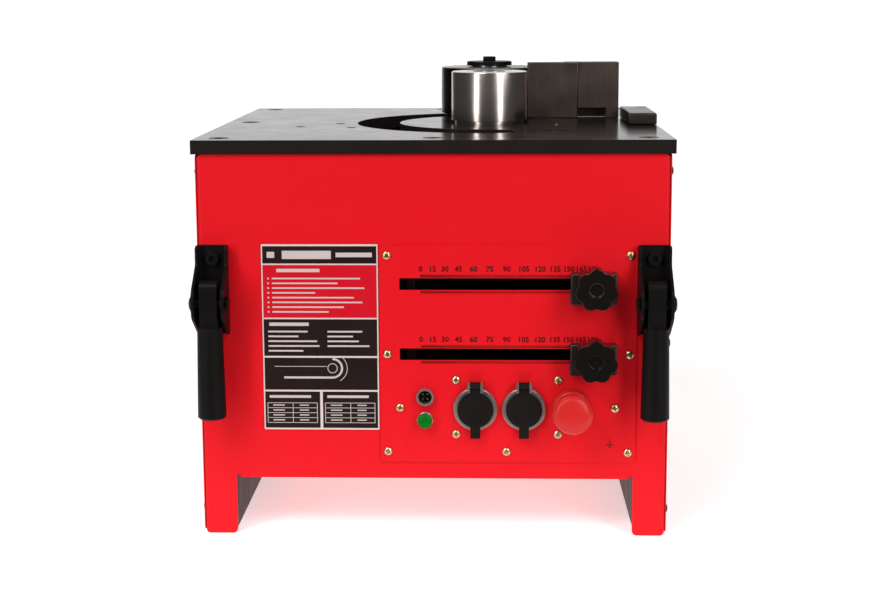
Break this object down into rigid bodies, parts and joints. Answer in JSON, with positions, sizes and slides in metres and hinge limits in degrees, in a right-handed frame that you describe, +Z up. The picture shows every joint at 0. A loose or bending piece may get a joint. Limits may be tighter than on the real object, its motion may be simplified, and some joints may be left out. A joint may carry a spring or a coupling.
{
  "type": "rebar bender",
  "caption": "Electric bench bender for reinforcing bar: a roller swings round a central former against a fence on a steel table, over a red cabinet with sliding angle stops and folding handles.",
  "frame": {"origin": "on the floor under the middle of the machine's footprint", "axes": "+Z up, the front with the angle scales and buttons faces -Y, +X to the right seen from the front, where the fence and bar rest are"},
  "size_m": [0.5, 0.5666, 0.4943],
  "materials": {
    "red_paint": "satin powder coat",
    "black_gloss": "gloss black",
    "black_satin": "satin black",
    "polished_steel": "turned and polished",
    "dark_steel": "ground, dark oxidised",
    "zinc_steel": "zinc plated",
    "cast_grey": "cast, grey primer",
    "gunmetal": "gunmetal",
    "black_plastic": "matt moulded",
    "gloss_black_plastic": "glossy moulded",
    "grip_rubber": "moulded rubber",
    "silver_trim": "satin chrome",
    "green_plastic": "glossy green",
    "red_plastic": "satin red",
    "printed_plate": "printed sheet"
  },
  "bodies": {
    "cabinet": {"table_plate": "black_gloss", "front_panel": "red_paint", "rear_panel": "red_paint", "side_cover_left": "red_paint", "side_cover_right": "red_paint", "runner_left": "black_satin", "runner_right": "black_satin", "base_tray": "red_paint", "control_plate": "red_paint", "spec_plate": "printed_plate", "centre_post": "zinc_steel", "gearbox_case": "cast_grey", "motor_body": "cast_grey", "control_box": "black_plastic", "outlet_left": "silver_trim", "outlet_right": "silver_trim", "pedal_connector": "silver_trim", "start_button_bezel": "silver_trim", "estop_base": "red_plastic", "power_gland": "black_plastic", "bar_rest": "dark_steel", "trip_guide_rod": "zinc_steel", "handle_bracket_front_left": "black_satin", "handle_bracket_front_right": "black_satin", "handle_bracket_rear_left": "black_satin", "handle_bracket_rear_right": "black_satin", "handle_pivot_front_left": "black_satin", "handle_pivot_front_right": "black_satin", "handle_pivot_rear_left": "black_satin", "handle_pivot_rear_right": "black_satin"},
    "bend_arm": {"bend_gear": "cast_grey", "roller_pin": "zinc_steel", "roller_cap_screw": "black_satin"},
    "roller": {"bending_roller": "dark_steel"},
    "former": {"centre_former": "polished_steel"},
    "pinion": {"drive_pinion": "zinc_steel"},
    "trip": {"trip_carriage": "zinc_steel"},
    "stop_upper": {"slider_block_upper": "gunmetal", "clamp_bolt_upper": "zinc_steel", "limit_switch_upper": "black_plastic"},
    "stop_lower": {"slider_block_lower": "gunmetal", "clamp_bolt_lower": "zinc_steel", "limit_switch_lower": "black_plastic"},
    "knob_upper": {"clamp_knob_upper": "gloss_black_plastic"},
    "knob_lower": {"clamp_knob_lower": "gloss_black_plastic"},
    "estop_plunger": {"estop_stem": "black_plastic"},
    "estop_mushroom": {"estop_head": "red_plastic"},
    "start_cap": {"start_button": "green_plastic"},
    "lid_left": {"outlet_lid_left": "black_plastic"},
    "lid_right": {"outlet_lid_right": "black_plastic"},
    "fence": {"fence_jaw": "dark_steel", "fence_carrier": "dark_steel"},
    "handle_front_left": {"handle_bar_front_left": "black_satin", "handle_grip_front_left": "grip_rubber"},
    "handle_front_right": {"handle_bar_front_right": "black_satin", "handle_grip_front_right": "grip_rubber"},
    "handle_rear_left": {"handle_bar_rear_left": "black_satin", "handle_grip_rear_left": "grip_rubber"},
    "handle_rear_right": {"handle_bar_rear_right": "black_satin", "handle_grip_rear_right": "grip_rubber"}
  },
  "joints": [
    {"name": "bend_swing", "type": "hinge", "parent": "cabinet", "child": "bend_arm", "pos_m": [0.059, -0.006, 0.3975], "axis": [0, 0, 1], "range_deg": [0, 180]},
    {"name": "roller_spin", "type": "hinge", "parent": "bend_arm", "child": "roller", "pos_m": [0.059, 0.124, 0.422], "axis": [0, 0, 1], "continuous": true},
    {"name": "former_spin", "type": "hinge", "parent": "cabinet", "child": "former", "pos_m": [0.059, -0.006, 0.422], "axis": [0, 0, 1], "continuous": true},
    {"name": "pinion_spin", "type": "hinge", "parent": "cabinet", "child": "pinion", "pos_m": [-0.136, -0.006, 0.3975], "axis": [0, 0, 1], "range_deg": [-720, 0]},
    {"name": "trip_slide", "type": "slide", "parent": "cabinet", "child": "trip", "axis": [1, 0, 0], "range_m": [0, 0.179]},
    {"name": "stop_upper_slide", "type": "slide", "parent": "cabinet", "child": "stop_upper", "axis": [-1, 0, 0], "range_m": [0, 0.179]},
    {"name": "stop_lower_slide", "type": "slide", "parent": "cabinet", "child": "stop_lower", "axis": [-1, 0, 0], "range_m": [0, 0.179]},
    {"name": "knob_upper_turn", "type": "hinge", "parent": "stop_upper", "child": "knob_upper", "pos_m": [0.168, -0.2413, 0.2717], "axis": [0, -1, 0], "range_deg": [0, 450]},
    {"name": "knob_lower_turn", "type": "hinge", "parent": "stop_lower", "child": "knob_lower", "pos_m": [0.168, -0.2413, 0.197], "axis": [0, -1, 0], "range_deg": [0, 450]},
    {"name": "estop_push", "type": "slide", "parent": "cabinet", "child": "estop_plunger", "axis": [0, 1, 0], "range_m": [0, 0.004]},
    {"name": "estop_twist", "type": "hinge", "parent": "estop_plunger", "child": "estop_mushroom", "pos_m": [0.1447, -0.2413, 0.141], "axis": [0, 1, 0], "range_deg": [0, 45]},
    {"name": "start_push", "type": "slide", "parent": "cabinet", "child": "start_cap", "axis": [0, 1, 0], "range_m": [0, 0.0025], "stiffness_N_per_m": 300, "springref_m": -0.002},
    {"name": "lid_left_flip", "type": "hinge", "parent": "cabinet", "child": "lid_left", "pos_m": [0.0442, -0.25, 0.1658], "axis": [-1, 0, 0], "range_deg": [0, 100], "stiffness_Nm_per_rad": 0.02, "springref_deg": -28.65},
    {"name": "lid_right_flip", "type": "hinge", "parent": "cabinet", "child": "lid_right", "pos_m": [0.0952, -0.25, 0.1658], "axis": [-1, 0, 0], "range_deg": [0, 100], "stiffness_Nm_per_rad": 0.02, "springref_deg": -28.65},
    {"name": "handle_front_left_fold", "type": "hinge", "parent": "cabinet", "child": "handle_front_left", "pos_m": [-0.2293, -0.2683, 0.256], "axis": [-1, 0, 0], "range_deg": [0, 90]},
    {"name": "handle_front_right_fold", "type": "hinge", "parent": "cabinet", "child": "handle_front_right", "pos_m": [0.2293, -0.2683, 0.256], "axis": [-1, 0, 0], "range_deg": [0, 90]},
    {"name": "handle_rear_left_fold", "type": "hinge", "parent": "cabinet", "child": "handle_rear_left", "pos_m": [-0.2293, 0.2683, 0.256], "axis": [1, 0, 0], "range_deg": [0, 90]},
    {"name": "handle_rear_right_fold", "type": "hinge", "parent": "cabinet", "child": "handle_rear_right", "pos_m": [0.2293, 0.2683, 0.256], "axis": [1, 0, 0], "range_deg": [0, 90]},
    {"name": "fence_slide", "type": "slide", "parent": "cabinet", "child": "fence", "axis": [0, 1, 0], "range_m": [-0.007, 0.01]}
  ],
  "couplings": [
    {"joint": "pinion_spin", "follows": "bend_swing", "ratio": -4},
    {"joint": "trip_slide", "follows": "bend_swing", "m_per_rad": 0.056977}
  ]
}
